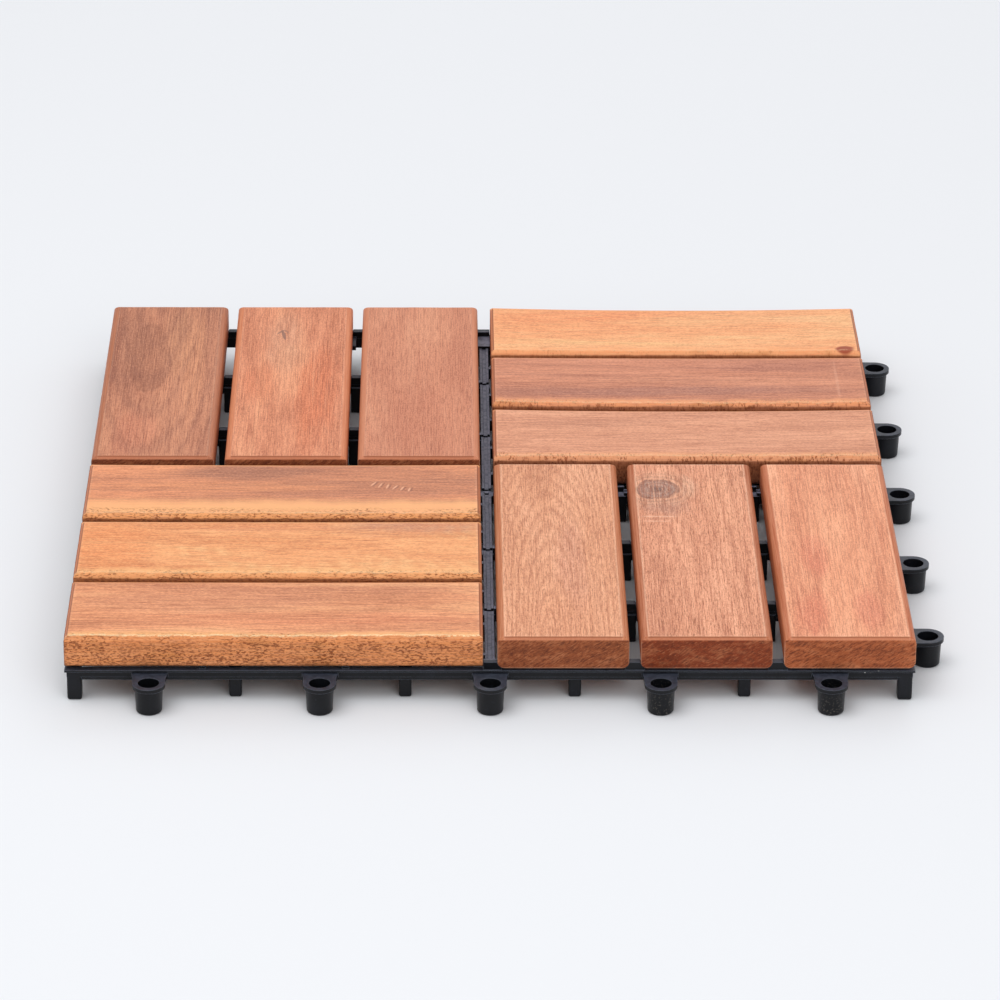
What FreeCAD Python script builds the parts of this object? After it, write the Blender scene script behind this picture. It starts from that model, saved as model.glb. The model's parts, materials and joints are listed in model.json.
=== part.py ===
import FreeCAD, Part
import Sketcher
import math
import os

# Interlocking deck tile: twelve hardwood slats in four quarters, laid as a basket weave,
# screwed from below to one moulded plastic grid that has loops on two sides and pegs on the
# other two. Lengths are millimetres. The origin is at the middle of the tile, on the floor,
# with X to the right, Y to the back and Z up.

SIZES = {
    # wood slats
    "slat_width": 46.5,
    "slat_thick": 12.0,
    "slat_gap": 4.0,
    "quarter_gap": 5.0,
    "arris_round": 2.5,
    "end_chamfer": 1.3,
    # height of the grid up to the underside of the wood
    "base_height": 13.0,
    # rim round the grid: a thin lip, the face under it and a lower step
    "rim_drop": 1.0,
    "rim_height": 4.2,
    "rim_wall": 3.0,
    "lip_height": 0.8,
    "lip_stand": 0.7,
    "step_height": 1.3,
    "step_stand": 0.6,
    # strips under the cross-shaped gap between the quarters
    "strip_width": 3.5,
    "strip_height": 4.6,
    "groove_width": 1.5,
    "groove_depth": 0.5,
    "notch_length": 2.2,
    "notch_depth": 1.2,
    "middle_notch_length": 1.6,
    "middle_notch_offset": 1.7,
    # ribs across the slats and spines along them
    "rib_thick": 2.5,
    "rib_height": 5.0,
    "spine_thick": 2.0,
    "spine_height": 4.4,
    "spine_offset": 12.0,
    # feet and posts that reach the floor
    "foot_side": 4.4,
    "foot_round": 0.6,
    "corner_post_side": 5.2,
    "side_post_width": 4.5,
    "side_post_depth": 4.0,
    "side_post_inset": 2.9,
    "post_round": 0.9,
    # lugs that stand up in the gaps and space the slats
    "lug_height": 3.0,
    "lug_depth": 2.8,
    "lug_foot": 1.5,
    "lug_flare_height": 1.6,
    "lug_clearance": 0.1,
    # loops along the front and the right
    "loop_spacing": 60.0,
    "loop_reach": 7.1,
    "loop_bore_radius": 3.8,
    "loop_drop": 1.2,
    "loop_lip_radius": 5.8,
    "loop_lip_height": 1.5,
    "barrel_top_radius": 5.0,
    "barrel_foot_radius": 4.6,
    "barrel_round": 0.8,
    "neck_width": 11.6,
    "neck_flare": 0.6,
    "neck_thick": 1.6,
    "web_thick": 2.0,
    "web_hole_radius": 0.8,
    # pegs along the back and the left
    "tile_joint": 2.0,
    "peg_clearance": 0.3,
    "peg_tip_height": 1.0,
    "peg_chamfer": 0.8,
    "pad_clearance": 0.4,
    "pad_edge": 1.5,
    "room_clearance": 1.0,
    # screws and their bosses
    "boss_radius": 4.0,
    "screw_radius": 1.5,
    "screw_length": 12.0,
    "screw_point": 2.2,
    "head_radius": 3.0,
    "head_height": 2.2,
    "head_round": 1.0,
    "drive_width": 0.9,
    "drive_span": 3.6,
    "drive_depth": 1.2,
    "hole_clearance": 0.25,
    "pilot_clearance": 0.05,
    "pilot_spare": 1.0,
}

# Worked out from the sizes above, as expressions that the model's own objects hold
PITCH = "(sizes.slat_width + sizes.slat_gap)"
SLAT_LENGTH = "(3 * sizes.slat_width + 2 * sizes.slat_gap)"
HALF_TILE = f"({SLAT_LENGTH} + sizes.quarter_gap / 2)"
SLAT_LINES = [f"(sizes.quarter_gap / 2 + sizes.slat_width / 2 + {k} * {PITCH})" for k in range(3)]
GAP_LINES = [f"({SLAT_LINES[k]} + {PITCH} / 2)" for k in range(2)]
QUARTER_MIDDLE = SLAT_LINES[1]
RIM_TOP = "(sizes.base_height - sizes.rim_drop)"
RIM_BOTTOM = f"({RIM_TOP} - sizes.rim_height)"
RIM_FACE = f"({HALF_TILE} - sizes.lip_stand)"
RIM_INSIDE = f"({HALF_TILE} - sizes.rim_wall)"
LOOP_TOP = f"({RIM_TOP} - sizes.loop_drop)"
LOOP_CENTRE = f"({HALF_TILE} + sizes.loop_reach)"
PEG_INSET = "(sizes.loop_reach - sizes.tile_joint)"
PEG_CENTRE = f"({HALF_TILE} - {PEG_INSET})"
PAD_BOTTOM = f"({LOOP_TOP} + sizes.pad_clearance)"
SCREW_SEAT = "(sizes.base_height - sizes.rib_height)"

# name, side in X, side in Y, direction of the slats
QUARTERS = [
    ("back_left", -1, 1, "Y"),
    ("back_right", 1, 1, "X"),
    ("front_left", -1, -1, "X"),
    ("front_right", 1, -1, "Y"),
]

doc = FreeCAD.newDocument("deck_tile")
sheet = doc.addObject("Spreadsheet::Sheet", "sizes")
for row, (name, value) in enumerate(SIZES.items(), start=1):
    sheet.set(f"A{row}", name)
    sheet.set(f"B{row}", str(value))
    sheet.setAlias(f"B{row}", name)
doc.recompute()


def bind(thing, **expressions):
    """Tie properties to expressions; x, y and z stand for the place of the object."""
    for name, expression in expressions.items():
        path = f"Placement.Base.{name}" if name in "xyz" else name
        thing.setExpression(path, expression)


def signed(side, expression):
    return expression if side > 0 else f"(-1 * {expression})"


def turned(angle):
    return FreeCAD.Placement(FreeCAD.Vector(), FreeCAD.Rotation(FreeCAD.Vector(0, 0, 1), angle))


def block(label, middle_x, middle_y, bottom, size_x, size_y, size_z):
    """A box that is centred on a point in plan and stands on a height."""
    box = doc.addObject("Part::Box", label)
    bind(box, Length=size_x, Width=size_y, Height=size_z)
    bind(box, x=f"{middle_x} - ({size_x}) / 2", y=f"{middle_y} - ({size_y}) / 2", z=bottom)
    return box


def bar(label, direction, along, across, bottom, length, thick, height):
    """A block that runs along X or Y; along and across are the place of its middle."""
    if direction == "X":
        return block(label, along, across, bottom, length, thick, height)
    return block(label, across, along, bottom, thick, length, height)


def drum(label, x, y, bottom, radius, height):
    cylinder = doc.addObject("Part::Cylinder", label)
    bind(cylinder, Radius=radius, Height=height, x=x, y=y, z=bottom)
    return cylinder


def copy_of(source, label, x, y, bottom="0", angle=0):
    link = doc.addObject("App::Link", label)
    link.LinkedObject = source
    link.Placement = turned(angle)
    bind(link, x=x, y=y, z=bottom)
    return link


def joined(label, pieces):
    fuse = doc.addObject("Part::MultiFuse", label)
    fuse.Shapes = pieces
    return fuse


def cut(label, base, tool):
    result = doc.addObject("Part::Cut", label)
    result.Base = base
    result.Tool = tool
    return result


def on_plane(body, label, plane, height="0"):
    """An empty sketch that lies on an origin plane of the body, or at a height above it."""
    sketch = body.newObject("Sketcher::SketchObject", label)
    origin_plane = next(part for part in body.Origin.OriginFeatures if part.Role == plane)
    sketch.AttachmentSupport = [(origin_plane, "")]
    sketch.MapMode = "FlatFace"
    sketch.setExpression("AttachmentOffset.Base.z", height)
    return sketch


def outline(body, label, plane, points, height="0"):
    """A closed sketch of straight lines whose corners are expressions."""
    sketch = on_plane(body, label, plane, height)
    count = len(points)
    for k in range(count):
        # a rough closed shape, which the constraints then bring to size
        angle = 2 * math.pi * k / count
        following = 2 * math.pi * (k + 1) / count
        start = FreeCAD.Vector(math.cos(angle), math.sin(angle), 0)
        end = FreeCAD.Vector(math.cos(following), math.sin(following), 0)
        sketch.addGeometry(Part.LineSegment(start, end), False)
    for k in range(count):
        sketch.addConstraint(Sketcher.Constraint("Coincident", k, 2, (k + 1) % count, 1))
    for k, corner in enumerate(points):
        place_point(sketch, k, 1, corner)
    return sketch


def place_point(sketch, geometry, point, place):
    """Tie one point of the sketch to a pair of expressions, measured from its origin."""
    for kind, expression in zip(("DistanceX", "DistanceY"), place):
        index = sketch.addConstraint(Sketcher.Constraint(kind, -1, 1, geometry, point, 1.0))
        sketch.setExpression(f"Constraints[{index}]", expression)


def circles(body, label, plane, places):
    """A sketch of circles, each with the expressions of its middle and its radius."""
    sketch = on_plane(body, label, plane)
    for k, (across, up, radius) in enumerate(places):
        sketch.addGeometry(Part.Circle(FreeCAD.Vector(k, k, 0), FreeCAD.Vector(0, 0, 1), 1), False)
        place_point(sketch, k, 3, (across, up))
        index = sketch.addConstraint(Sketcher.Constraint("Radius", k, 1.0))
        sketch.setExpression(f"Constraints[{index}]", radius)
    return sketch


def rectangle(middle_x, middle_y, size_x, size_y):
    left = f"{middle_x} - ({size_x}) / 2"
    right = f"{middle_x} + ({size_x}) / 2"
    low = f"{middle_y} - ({size_y}) / 2"
    high = f"{middle_y} + ({size_y}) / 2"
    return [(left, low), (right, low), (right, high), (left, high)]


def pad(body, label, sketch, length, both_ways=False):
    feature = body.newObject("PartDesign::Pad", label)
    feature.Profile = sketch
    feature.Midplane = both_ways
    bind(feature, Length=length)
    return feature


def pocket(body, label, sketch, depth, upward=False, both_ways=False):
    feature = body.newObject("PartDesign::Pocket", label)
    feature.Profile = sketch
    feature.Reversed = upward
    feature.Midplane = both_ways
    bind(feature, Length=depth)
    return feature


def rounded(body, label, base, radius, chosen):
    """Round the edges of the base for which chosen(edge) is true."""
    doc.recompute()
    names = [f"Edge{k}" for k, edge in enumerate(base.Shape.Edges, start=1) if chosen(edge)]
    feature = body.newObject("PartDesign::Fillet", label)
    feature.Base = (base, names)
    bind(feature, Radius=radius)
    return feature


def turned_profile(body, label, points):
    """A solid of revolution about Z, from a sketch in the XZ plane."""
    sketch = outline(body, f"{label}_section", "XZ_Plane", points)
    feature = body.newObject("PartDesign::Revolution", label)
    feature.Profile = sketch
    feature.ReferenceAxis = (sketch, ["V_Axis"])
    feature.Angle = 360
    return feature


def is_level(edge, height):
    return all(abs(vertex.Z - height) < 0.001 for vertex in edge.Vertexes)


def is_upright(edge):
    ends = edge.Vertexes
    return len(ends) == 2 and abs(ends[0].X - ends[1].X) + abs(ends[0].Y - ends[1].Y) < 0.001


def make_slat(label, x, y, direction):
    """One slat: rounded long arrises, chamfered ends and two pilot holes from below."""
    body = doc.addObject("PartDesign::Body", label)
    section = outline(body, f"{label}_plan", "XY_Plane",
                      rectangle("0", "0", SLAT_LENGTH, "sizes.slat_width"))
    plank = pad(body, f"{label}_plank", section, "sizes.slat_thick")
    rounded(body, f"{label}_arris", plank, "sizes.arris_round",
            lambda edge: not is_upright(edge) and edge.Length > 1.01 * sheet.slat_width)
    for side in (-1, 1):
        end = f"{side} * {SLAT_LENGTH} / 2"
        corner = outline(body, f"{label}_corner_{side + 1}", "XZ_Plane", [
            (end, "sizes.slat_thick"),
            (f"{end} - {side} * sizes.end_chamfer", "sizes.slat_thick"),
            (end, "sizes.slat_thick - sizes.end_chamfer"),
        ])
        pocket(body, f"{label}_chamfer_{side + 1}", corner, "2 * sizes.slat_width", both_ways=True)
    pilot_radius = "sizes.screw_radius + sizes.pilot_clearance"
    pilots = circles(body, f"{label}_pilot_places", "XY_Plane",
                     [(f"{side} * {PITCH} / 2", "0", pilot_radius) for side in (-1, 1)])
    pocket(body, f"{label}_pilots", pilots,
           "sizes.screw_length - sizes.rib_height + sizes.pilot_spare", upward=True)
    body.Placement = turned(0 if direction == "X" else 90)
    bind(body, x=x, y=y, z="sizes.base_height")
    return body


def make_slats():
    """Three slats a quarter, counted from the left where they run back, else from the back."""
    slats = []
    for quarter, side_x, side_y, direction in QUARTERS:
        for k, line in enumerate(SLAT_LINES):
            if direction == "Y":
                x = signed(side_x, line)
                y = signed(side_y, QUARTER_MIDDLE)
                number = 3 - k if side_x < 0 else k + 1
            else:
                x = signed(side_x, QUARTER_MIDDLE)
                y = signed(side_y, line)
                number = 3 - k if side_y > 0 else k + 1
            slats.append(make_slat(f"{quarter}_slat_{number}", x, y, direction))
    return slats


def make_screws(places):
    """One pan-head screw, head down, copied to every boss."""
    body = doc.addObject("PartDesign::Body", "slat_screw")
    neck = "(sizes.screw_length - sizes.screw_point)"
    turned_profile(body, "screw_turning", [
        ("0", "-1 * sizes.head_height"),
        ("sizes.head_radius - sizes.head_round", "-1 * sizes.head_height"),
        ("sizes.head_radius", "sizes.head_round - sizes.head_height"),
        ("sizes.head_radius", "0"),
        ("sizes.screw_radius", "0"),
        ("sizes.screw_radius", neck),
        ("0", "sizes.screw_length"),
    ])
    arms = [("sizes.drive_span", "sizes.drive_width"), ("sizes.drive_width", "sizes.drive_span")]
    for k, (size_x, size_y) in enumerate(arms):
        slot = outline(body, f"drive_slot_{k + 1}", "XY_Plane", rectangle("0", "0", size_x, size_y),
                       height="-1 * sizes.head_height")
        pocket(body, f"drive_{k + 1}", slot, "sizes.drive_depth", upward=True)
    copies = [copy_of(body, f"screw_{k + 1}", x, y, SCREW_SEAT) for k, (x, y) in enumerate(places)]
    screws = doc.addObject("Part::Compound", "slat_screws")
    screws.Links = copies
    return screws


def boss_places():
    """Where a slat's middle line crosses a rib."""
    places = []
    for _, side_x, side_y, direction in QUARTERS:
        for slat_line in SLAT_LINES:
            for rib_line in GAP_LINES:
                x, y = (slat_line, rib_line) if direction == "Y" else (rib_line, slat_line)
                places.append((signed(side_x, x), signed(side_y, y)))
    return places


def make_rim():
    """Lip, face and step of the rim, one under another, opened in the middle."""
    face_height = "(sizes.rim_height - sizes.lip_height - sizes.step_height)"
    face_bottom = f"({RIM_BOTTOM} + sizes.step_height)"
    lip_bottom = f"({RIM_TOP} - sizes.lip_height)"
    face_side = f"2 * {RIM_FACE}"
    lip_side = f"2 * {HALF_TILE}"
    step_side = f"(2 * {RIM_FACE} - 2 * sizes.step_stand)"
    lip = block("rim_lip", "0", "0", lip_bottom, lip_side, lip_side, "sizes.lip_height")
    face = block("rim_face", "0", "0", face_bottom, face_side, face_side, face_height)
    step = block("rim_step", "0", "0", RIM_BOTTOM, step_side, step_side, "sizes.step_height")
    inside = f"2 * {RIM_INSIDE}"
    opening = block("rim_opening", "0", "0", RIM_BOTTOM, inside, inside, "sizes.rim_height")
    return cut("rim", joined("rim_layers", [lip, face, step]), opening)


def make_strips():
    """The two strips of the middle cross, with a groove along the top and cross notches."""
    reach = f"2 * {RIM_INSIDE} + sizes.rim_wall"
    bottom = f"({RIM_TOP} - sizes.strip_height)"
    groove_bottom = f"({RIM_TOP} - sizes.groove_depth)"
    notch_bottom = f"({RIM_TOP} - sizes.notch_depth)"
    strips = []
    cutters = []
    for direction in "XY":
        strips.append(bar(f"strip_{direction}", direction, "0", "0", bottom, reach,
                          "sizes.strip_width", "sizes.strip_height"))
        cutters.append(bar(f"groove_{direction}", direction, "0", "0", groove_bottom,
                           f"2 * {RIM_INSIDE}", "sizes.groove_width", "sizes.groove_depth"))
        for side in (-1, 1):
            stops = [(line, "sizes.notch_length") for line in GAP_LINES]
            stops.append(("sizes.middle_notch_offset", "sizes.middle_notch_length"))
            for k, (line, length) in enumerate(stops):
                cutters.append(bar(f"notch_{direction}_{k}_{side + 1}", direction, signed(side, line),
                                   "0", notch_bottom, length, "sizes.strip_width",
                                   "sizes.notch_depth"))
    return cut("strips", joined("plain_strips", strips), joined("strip_cuts", cutters))


def make_ribs():
    """Ribs that carry the slats across, and a pair of spines under every slat."""
    bars = []
    length = f"({RIM_INSIDE} + sizes.rim_wall / 2 - sizes.strip_width / 2)"
    middle = f"(sizes.strip_width / 2 + {length} / 2)"
    rib_bottom = "(sizes.base_height - sizes.rib_height)"
    spine_bottom = "(sizes.base_height - sizes.spine_height)"
    for quarter, side_x, side_y, direction in QUARTERS:
        side_along, side_across = (side_x, side_y) if direction == "X" else (side_y, side_x)
        across_direction = "Y" if direction == "X" else "X"
        for k, line in enumerate(GAP_LINES):
            bars.append(bar(f"{quarter}_rib_{k + 1}", across_direction,
                            signed(side_across, middle), signed(side_along, line),
                            rib_bottom, length, "sizes.rib_thick", "sizes.rib_height"))
        for k, line in enumerate(SLAT_LINES):
            for side in (-1, 1):
                spine_line = f"({line} + {side} * sizes.spine_offset)"
                bars.append(bar(f"{quarter}_spine_{k + 1}_{side + 1}", direction,
                                signed(side_along, middle), signed(side_across, spine_line),
                                spine_bottom, length, "sizes.spine_thick", "sizes.spine_height"))
    return bars


def peg_sides():
    """Each place along a side that has pegs: middle of the peg, and the way it faces."""
    offsets = [f"({k} * sizes.loop_spacing)" for k in range(-2, 3)]
    back = [(offset, PEG_CENTRE, "Y", 1) for offset in offsets]
    left = [(f"(-1 * {PEG_CENTRE})", offset, "X", -1) for offset in offsets]
    return back + left


def make_rooms():
    """Room that the next tile's loops need round each peg, below the pads."""
    rooms = []
    width = "(sizes.neck_width + 2 * sizes.room_clearance)"
    depth = f"({PEG_INSET} + sizes.loop_lip_radius + sizes.room_clearance)"
    for k, (x, y, direction, side) in enumerate(peg_sides()):
        middle = signed(side, f"({HALF_TILE} - {depth} / 2)")
        across = x if direction == "Y" else y
        rooms.append(bar(f"loop_room_{k + 1}", direction, middle, across, "0", depth, width,
                         PAD_BOTTOM))
    return rooms


def make_pads():
    """A pad over each room, under the wood and tied into the rim."""
    pads = []
    width = "(sizes.neck_width + 2 * sizes.room_clearance + 2 * sizes.pad_edge)"
    room_depth = f"({PEG_INSET} + sizes.loop_lip_radius + sizes.room_clearance)"
    depth = f"({room_depth} + sizes.pad_edge - sizes.rim_wall / 2)"
    for k, (x, y, direction, side) in enumerate(peg_sides()):
        middle = signed(side, f"({HALF_TILE} - sizes.rim_wall / 2 - {depth} / 2)")
        across = x if direction == "Y" else y
        pads.append(bar(f"peg_pad_{k + 1}", direction, middle, across, PAD_BOTTOM, depth, width,
                        f"(sizes.base_height - {PAD_BOTTOM})"))
    return pads


def make_pegs():
    """Pegs with a chamfered tip; the root goes up into the pad."""
    radius = "(sizes.loop_bore_radius - sizes.peg_clearance)"
    body = doc.addObject("PartDesign::Body", "peg")
    turned_profile(body, "peg_turning", [
        ("0", "sizes.peg_tip_height"),
        (f"{radius} - sizes.peg_chamfer", "sizes.peg_tip_height"),
        (radius, "sizes.peg_tip_height + sizes.peg_chamfer"),
        (radius, "sizes.base_height - sizes.rim_drop"),
        ("0", "sizes.base_height - sizes.rim_drop"),
    ])
    return [copy_of(body, f"peg_{k + 1}", x, y) for k, (x, y, _, _) in enumerate(peg_sides())]


def make_loops():
    """Loops: a barrel with a lip, a flat neck to the rim and an upright web with a drain hole."""
    body = doc.addObject("PartDesign::Body", "loop")
    lip_bottom = f"({LOOP_TOP} - sizes.loop_lip_height)"
    barrel = turned_profile(body, "barrel_turning", [
        ("0", "0"),
        ("sizes.barrel_foot_radius", "0"),
        ("sizes.barrel_top_radius", lip_bottom),
        ("sizes.loop_lip_radius", lip_bottom),
        ("sizes.loop_lip_radius", LOOP_TOP),
        ("0", LOOP_TOP),
    ])
    rounded(body, "barrel_foot", barrel, "sizes.barrel_round", lambda edge: is_level(edge, 0))
    root = "(sizes.loop_reach + sizes.rim_wall / 2)"
    face = "(sizes.loop_reach + sizes.lip_stand)"
    side = "sizes.neck_width / 2"
    neck_plan = outline(body, "neck_plan", "XY_Plane", [
        ("0", "-1 * sizes.loop_lip_radius"),
        (f"{face} / 2", f"-1 * {side}"),
        (face, f"-1 * {side} - sizes.neck_flare"),
        (root, f"-1 * {side} - sizes.neck_flare"),
        (root, f"{side} + sizes.neck_flare"),
        (face, f"{side} + sizes.neck_flare"),
        (f"{face} / 2", side),
        ("0", "sizes.loop_lip_radius"),
    ], height=f"{LOOP_TOP} - sizes.neck_thick")
    pad(body, "neck", neck_plan, "sizes.neck_thick")
    web_side = outline(body, "web_side", "XZ_Plane", [
        ("0", "sizes.barrel_round"),
        ("sizes.barrel_foot_radius", "sizes.barrel_round"),
        (face, RIM_BOTTOM),
        (root, RIM_BOTTOM),
        (root, lip_bottom),
        ("0", lip_bottom),
    ])
    pad(body, "web", web_side, "sizes.web_thick", both_ways=True)
    drain = circles(body, "drain_place", "XZ_Plane", [
        (f"{face} - 2 * sizes.web_hole_radius", f"{lip_bottom} - 1.5 * sizes.web_hole_radius",
         "sizes.web_hole_radius"),
    ])
    pocket(body, "drain_hole", drain, "2 * sizes.web_thick", both_ways=True)
    bore_place = circles(body, "bore_place", "XY_Plane", [("0", "0", "sizes.loop_bore_radius")])
    pocket(body, "bore", bore_place, LOOP_TOP, upward=True)
    loops = []
    for k in range(-2, 3):
        offset = f"({k} * sizes.loop_spacing)"
        loops.append(copy_of(body, f"front_loop_{k + 3}", offset, f"(-1 * {LOOP_CENTRE})", angle=90))
        loops.append(copy_of(body, f"right_loop_{k + 3}", LOOP_CENTRE, offset, angle=180))
    return loops


def make_lug(label, gap, rounded_sides):
    """A lug for a gap of this width; on the sides named, its foot follows the slat's arris."""
    core_width = f"({gap} - 2 * sizes.lug_clearance)"
    pieces = [block(f"{label}_core", "0", "0", RIM_TOP, core_width, "sizes.lug_depth",
                    "sizes.lug_height")]
    foot_width = f"({gap} / 2 + sizes.lug_foot)"
    for side in rounded_sides:
        foot = block(f"{label}_foot_{side + 1}", f"{side} * {foot_width} / 2", "0", RIM_TOP, foot_width,
                     "sizes.lug_depth", "(sizes.rim_drop + sizes.lug_flare_height)")
        arris = doc.addObject("Part::Cylinder", f"{label}_arris_{side + 1}")
        arris.Placement = FreeCAD.Placement(FreeCAD.Vector(),
                                            FreeCAD.Rotation(FreeCAD.Vector(1, 0, 0), 90))
        bind(arris, Radius="sizes.arris_round + sizes.lug_clearance", Height="sizes.lug_depth",
             x=f"{side} * ({gap} / 2 + sizes.arris_round)", y="sizes.lug_depth / 2",
             z="sizes.base_height + sizes.arris_round")
        pieces.append(cut(f"{label}_flare_{side + 1}", foot, arris))
    return joined(label, pieces)


def make_lugs():
    """Lugs on the rim where a gap meets it, and where a gap passes over a rib."""
    slat_lug = make_lug("slat_lug", "sizes.slat_gap", (-1, 1))
    # in the middle cross a rounded arris faces the square end of the next quarter's slats
    middle_lug = make_lug("middle_lug", "sizes.quarter_gap", (-1,))
    edge = f"({RIM_FACE} - sizes.lug_depth / 2)"
    sides = [("back", "0", edge, 0), ("left", signed(-1, edge), "0", 90),
             ("front", "0", signed(-1, edge), 180), ("right", edge, "0", 270)]
    lugs = [copy_of(middle_lug, f"{name}_lug", x, y, angle=angle) for name, x, y, angle in sides]
    for quarter, side_x, side_y, direction in QUARTERS:
        angle = 0 if direction == "Y" else 90
        for k, gap_line in enumerate(GAP_LINES):
            for stop, place in enumerate(GAP_LINES + [edge]):
                x, y = (gap_line, place) if direction == "Y" else (place, gap_line)
                lugs.append(copy_of(slat_lug, f"{quarter}_lug_{k}_{stop}", signed(side_x, x),
                                    signed(side_y, y), angle=angle))
    return lugs


def make_post(label, size_x, size_y, height, radius):
    """A post to the floor whose upright edges and foot are rounded."""
    body = doc.addObject("PartDesign::Body", label)
    plan = outline(body, f"{label}_plan", "XY_Plane", rectangle("0", "0", size_x, size_y))
    shaft = pad(body, f"{label}_shaft", plan, height)
    rounded(body, f"{label}_round", shaft, radius,
            lambda edge: is_upright(edge) or is_level(edge, 0))
    return body


def make_feet():
    """Posts at the corners and along the sides, and feet under the ribs and strips."""
    corner = make_post("corner_post", "sizes.corner_post_side", "sizes.corner_post_side", RIM_TOP,
                       "sizes.post_round")
    side_post = make_post("side_post", "sizes.side_post_width", "sizes.side_post_depth",
                          f"({RIM_TOP} - sizes.lip_height)", "sizes.post_round")
    foot = make_post("foot", "sizes.foot_side", "sizes.foot_side",
                     f"({RIM_TOP} - sizes.notch_depth)", "sizes.foot_round")
    corner_line = f"({RIM_FACE} - sizes.corner_post_side / 2)"
    side_line = f"({HALF_TILE} - sizes.side_post_inset - sizes.side_post_depth / 2)"
    feet = [copy_of(foot, "foot_middle", "0", "0")]
    for side_x in (-1, 1):
        for side_y in (-1, 1):
            feet.append(copy_of(corner, f"corner_post_{side_x + 1}_{side_y + 1}",
                                signed(side_x, corner_line), signed(side_y, corner_line)))
            for j, line_x in enumerate(GAP_LINES):
                for k, line_y in enumerate(GAP_LINES):
                    feet.append(copy_of(foot, f"foot_{j}{k}_{side_x + 1}_{side_y + 1}",
                                        signed(side_x, line_x), signed(side_y, line_y)))
    for side in (-1, 1):
        for k, line in enumerate(GAP_LINES):
            feet.append(copy_of(foot, f"strip_foot_x{k}_{side + 1}", signed(side, line), "0"))
            feet.append(copy_of(foot, f"strip_foot_y{k}_{side + 1}", "0", signed(side, line)))
        for k in (-3, -1, 1, 3):
            offset = f"({k} * sizes.loop_spacing / 2)"
            feet.append(copy_of(side_post, f"post_x{k + 3}_{side + 1}", offset,
                                signed(side, side_line)))
            feet.append(copy_of(side_post, f"post_y{k + 3}_{side + 1}", signed(side, side_line),
                                offset, angle=90))
    return feet


def make_base(places):
    """The moulded grid, as one solid."""
    bosses = []
    holes = []
    for k, (x, y) in enumerate(places):
        bosses.append(drum(f"boss_{k + 1}", x, y, SCREW_SEAT, "sizes.boss_radius",
                           "sizes.rib_height"))
        holes.append(drum(f"screw_hole_{k + 1}", x, y, SCREW_SEAT,
                          "sizes.screw_radius + sizes.hole_clearance", "sizes.rib_height"))
    frame = joined("frame", [make_rim(), make_strips()] + make_ribs() + bosses)
    opened = cut("opened_frame", frame, joined("frame_cuts", make_rooms() + holes))
    return joined("base_grid", [opened] + make_loops() + make_pads() + make_pegs() + make_lugs()
                  + make_feet())


def write_parts(parts):
    """Check the whole document, then write one file for each sub-part."""
    doc.recompute()
    failed = [thing.Name for thing in doc.Objects
              if "Invalid" in thing.State or "Error" in thing.State]
    if failed:
        raise RuntimeError(f"these objects failed: {failed}")
    for part in parts:
        if part.Shape.isNull() or not part.Shape.isValid():
            raise RuntimeError(f"{part.Label} has no valid shape")
    os.makedirs("parts", exist_ok=True)
    for part in parts:
        part.Shape.exportStep(f"parts/{part.Label}.step")
        print(part.Label, len(part.Shape.Solids), round(part.Shape.Volume, 1))


places = boss_places()
write_parts([make_base(places), make_screws(places)] + make_slats())
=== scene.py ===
import json
import math
import random

import bmesh
import bpy
from mathutils import Matrix, Vector, noise

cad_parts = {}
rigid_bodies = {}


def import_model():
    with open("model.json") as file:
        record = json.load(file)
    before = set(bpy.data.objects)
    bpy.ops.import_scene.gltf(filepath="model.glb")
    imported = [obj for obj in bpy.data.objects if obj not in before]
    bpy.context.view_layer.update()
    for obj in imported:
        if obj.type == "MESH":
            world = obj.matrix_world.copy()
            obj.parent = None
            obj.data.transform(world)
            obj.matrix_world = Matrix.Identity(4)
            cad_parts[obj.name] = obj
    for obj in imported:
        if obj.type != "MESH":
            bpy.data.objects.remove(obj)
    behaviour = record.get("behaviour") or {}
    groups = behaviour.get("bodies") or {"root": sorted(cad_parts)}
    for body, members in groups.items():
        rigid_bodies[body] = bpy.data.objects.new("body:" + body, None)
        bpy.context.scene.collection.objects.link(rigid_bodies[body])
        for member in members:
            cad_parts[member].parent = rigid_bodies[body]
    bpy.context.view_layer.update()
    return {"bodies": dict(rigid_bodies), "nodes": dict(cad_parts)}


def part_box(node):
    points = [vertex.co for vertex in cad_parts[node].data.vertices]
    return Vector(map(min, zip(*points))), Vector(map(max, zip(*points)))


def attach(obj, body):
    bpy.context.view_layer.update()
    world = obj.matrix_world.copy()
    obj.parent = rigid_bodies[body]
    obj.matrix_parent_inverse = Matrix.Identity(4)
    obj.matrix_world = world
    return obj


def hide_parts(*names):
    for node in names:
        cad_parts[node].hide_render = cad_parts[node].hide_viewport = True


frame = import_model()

mm = 0.001
body = next(iter(frame["bodies"]))
print("stage: frame loaded,", len(frame["nodes"]), "nodes")


def paint(red, green, blue):
    # a colour as it looks on screen, 0 to 255, turned into the linear values that a shader takes
    def linear(value):
        share = value / 255
        return share / 12.92 if share <= 0.04045 else ((share + 0.055) / 1.055) ** 2.4
    return (linear(red), linear(green), linear(blue), 1.0)


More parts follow.
